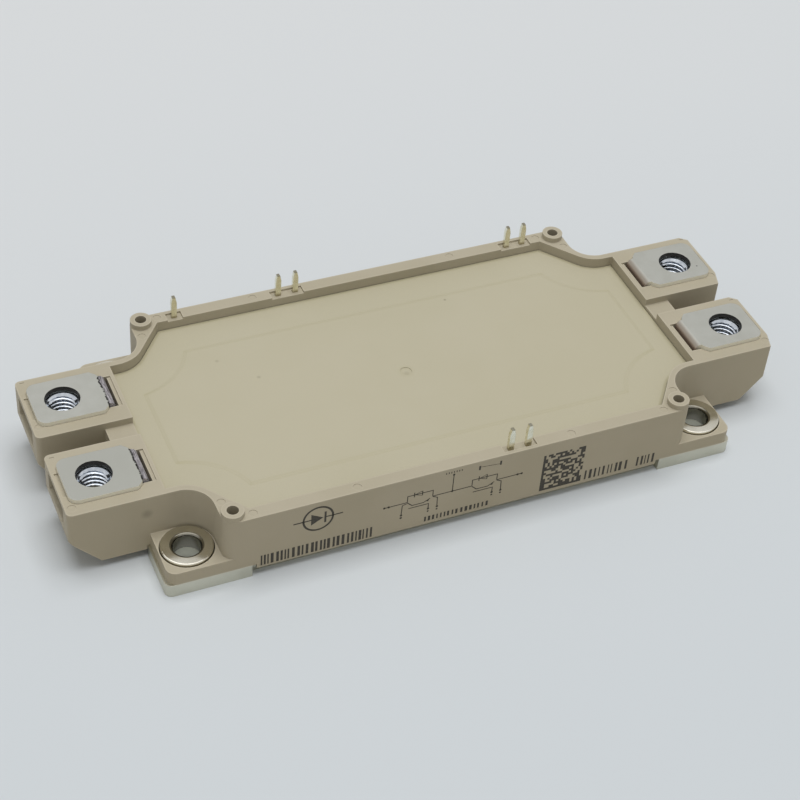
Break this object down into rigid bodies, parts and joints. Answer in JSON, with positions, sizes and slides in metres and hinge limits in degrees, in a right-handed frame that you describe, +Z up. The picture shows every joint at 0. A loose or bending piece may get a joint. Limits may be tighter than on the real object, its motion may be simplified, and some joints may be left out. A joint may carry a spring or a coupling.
{
  "type": "half-bridge power transistor module",
  "caption": "Flat beige power module: plated base plate with holed corner ears, moulded frame round a sunken lid, screw terminals over captive nuts at both ends and slim signal pins.",
  "frame": {"origin": "centre of the base plate's underside", "axes": "+X along the length, +Y across the width towards the long side with five pins, +Z up out of the lid"},
  "size_m": [0.152, 0.062, 0.0206],
  "materials": {
    "nickel_plate": "satin nickel plating over copper",
    "frame_plastic": "moulded beige polyester, matte",
    "lid_plastic": "moulded beige polyester, matte, a little yellower",
    "terminal_plating": "dull nickel plating over copper",
    "zinc_steel": "bright zinc-plated steel",
    "pin_plating": "tinned, faintly yellow",
    "ceramic": "white alumina ceramic, bonded copper underneath",
    "copper": "bare copper",
    "silicon": "polished silicon with metal on top",
    "wire_aluminium": "drawn aluminium wire",
    "thermistor_body": "dark sensor body",
    "silicone_gel": "clear soft gel"
  },
  "bodies": {
    "root": {"base_plate": "nickel_plate", "housing_frame": "frame_plastic", "lid": "lid_plastic", "bushing_front_left": "nickel_plate", "bushing_front_right": "nickel_plate", "bushing_back_left": "nickel_plate", "bushing_back_right": "nickel_plate", "terminal_front_left": "terminal_plating", "terminal_front_right": "terminal_plating", "terminal_back_left": "terminal_plating", "terminal_back_right": "terminal_plating", "nut_front_left": "zinc_steel", "nut_front_right": "zinc_steel", "nut_back_left": "zinc_steel", "nut_back_right": "zinc_steel", "pin_back_1": "pin_plating", "pin_back_2": "pin_plating", "pin_back_3": "pin_plating", "pin_back_4": "pin_plating", "pin_back_5": "pin_plating", "pin_front_1": "pin_plating", "pin_front_2": "pin_plating", "substrate_left": "ceramic", "substrate_middle": "ceramic", "substrate_right": "ceramic", "tracks_left": "copper", "tracks_middle": "copper", "tracks_right": "copper", "igbt_upper_left": "silicon", "igbt_upper_middle": "silicon", "igbt_upper_right": "silicon", "igbt_lower_left": "silicon", "igbt_lower_middle": "silicon", "igbt_lower_right": "silicon", "diode_upper_left": "silicon", "diode_upper_middle": "silicon", "diode_upper_right": "silicon", "diode_lower_left": "silicon", "diode_lower_middle": "silicon", "diode_lower_right": "silicon", "bridges_left": "copper", "bridges_right": "copper", "power_wires_left": "wire_aluminium", "power_wires_middle": "wire_aluminium", "power_wires_right": "wire_aluminium", "signal_wires": "wire_aluminium", "thermistor": "thermistor_body", "gel": "silicone_gel"}
  },
  "joints": []
}
